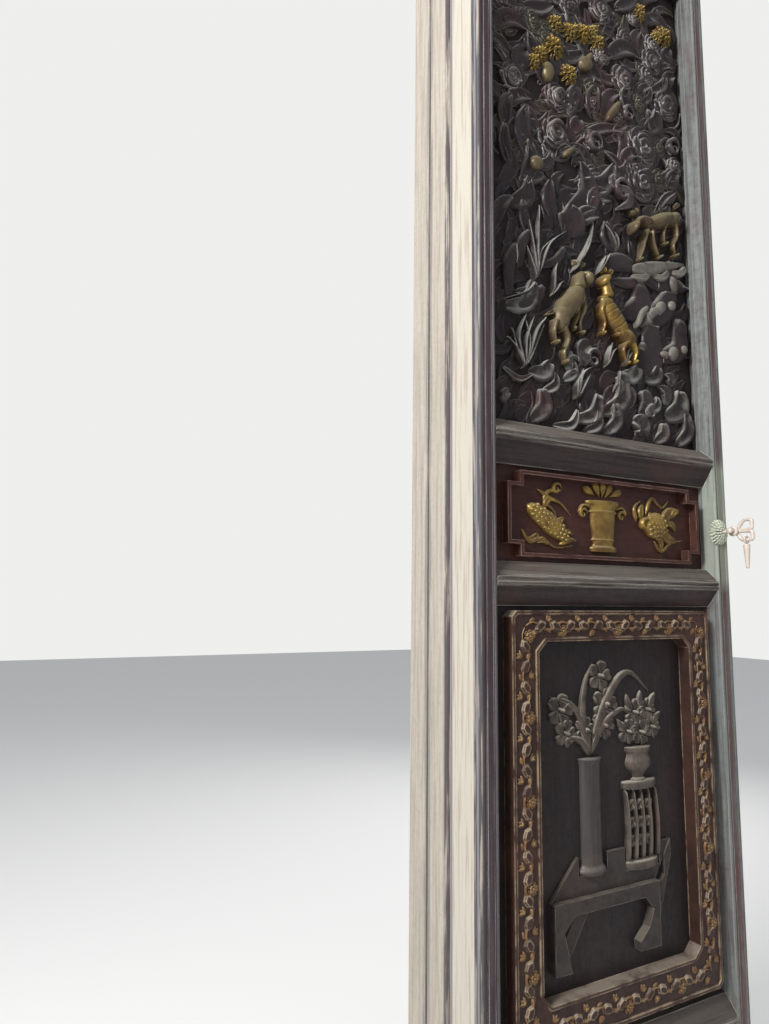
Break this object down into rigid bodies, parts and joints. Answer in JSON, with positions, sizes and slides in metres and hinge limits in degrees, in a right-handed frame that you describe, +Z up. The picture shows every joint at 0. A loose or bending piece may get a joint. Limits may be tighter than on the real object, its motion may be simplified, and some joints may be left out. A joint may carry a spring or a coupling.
{
  "type": "carved temple door",
  "caption": "Tall panelled temple door leaf, deeply carved and partly gilded, hung on pivots in its own frame of stone sill, jambs and head.",
  "frame": {"origin": "on the underside of the sill, below the arris where the open leaf's carved face meets the outer plane of the jambs", "axes": "+Z up, +X along the wall from the hinge jamb to the latch jamb, -Y to the outside; the leaf is stored open at a right angle, its carved face towards +X"},
  "size_m": [0.9236, 0.94, 3.111],
  "materials": {
    "sill_stone": "worn and dusty",
    "pale_wood": "sun-bleached bare timber",
    "head_paint": "faded brown-red paint",
    "pivot_iron": "dark, worn bright where it turns",
    "weathered_lacquer": "dusty grey-brown lacquer",
    "dark_board": "near-black lacquer",
    "red_brown_board": "red-brown lacquer",
    "red_brown_carving": "red-brown lacquer with worn gilding",
    "dark_carving": "dusty dark lacquer with worn gilding",
    "worn_gilding": "worn gilding on red-brown lacquer",
    "dusty_carving": "dusty grey-brown lacquer",
    "pale_metal": "pale worn metal with green bloom"
  },
  "bodies": {
    "frame": {"sill_base": "sill_stone", "sill_slab": "sill_stone", "hinge_jamb": "pale_wood", "latch_jamb": "pale_wood", "pivot_beam": "head_paint", "lintel": "head_paint", "stop_board": "head_paint", "sill_socket": "pivot_iron", "head_socket": "pivot_iron"},
    "leaf": {"basin_relief": "dusty_carving", "boss_plate": "pale_metal", "bottom_rail": "weathered_lacquer", "bottom_strip_board": "dark_board", "bottom_strip_line_frame": "weathered_lacquer", "bouquet_relief": "dusty_carving", "carved_border": "red_brown_carving", "censer_relief": "worn_gilding", "ewer_relief": "worn_gilding", "free_stile": "weathered_lacquer", "fruit_relief": "worn_gilding", "gourd_relief": "worn_gilding", "hinge_stile": "weathered_lacquer", "jar_relief": "worn_gilding", "lower_board": "dark_board", "lower_pivot": "pivot_iron", "lower_rail": "weathered_lacquer", "pot_flowers_relief": "dusty_carving", "pot_relief": "dusty_carving", "pull_eye": "pale_metal", "rock_relief": "dusty_carving", "scroll_relief": "dusty_carving", "stool_relief": "dusty_carving", "table_relief": "dusty_carving", "tall_vase_relief": "dusty_carving", "top_rail": "weathered_lacquer", "top_strip_board": "dark_board", "top_strip_line_frame": "weathered_lacquer", "upper_carving": "dark_carving", "upper_pivot": "pivot_iron", "upper_rail": "weathered_lacquer", "waist_board": "red_brown_board", "waist_line_frame": "red_brown_carving", "waist_lower_rail": "weathered_lacquer", "waist_upper_rail": "weathered_lacquer", "waist_vase_relief": "worn_gilding"},
    "bow": {"pull_bow": "pale_metal"},
    "drop": {"pull_drop": "pale_metal"}
  },
  "joints": [
    {"name": "leaf_swing", "type": "hinge", "parent": "frame", "child": "leaf", "pos_m": [-0.046, 0.03, 0], "axis": [0, 0, 1], "range_deg": [-90, 6]},
    {"name": "bow_swing", "type": "hinge", "parent": "leaf", "child": "bow", "pos_m": [0.033, 0.611, 1.396], "axis": [0, 1, 0], "range_deg": [-30, 10]},
    {"name": "drop_swing", "type": "hinge", "parent": "bow", "child": "drop", "pos_m": [0.056, 0.6192, 1.377], "axis": [1, 0, 0], "range_deg": [-12, 12]}
  ]
}
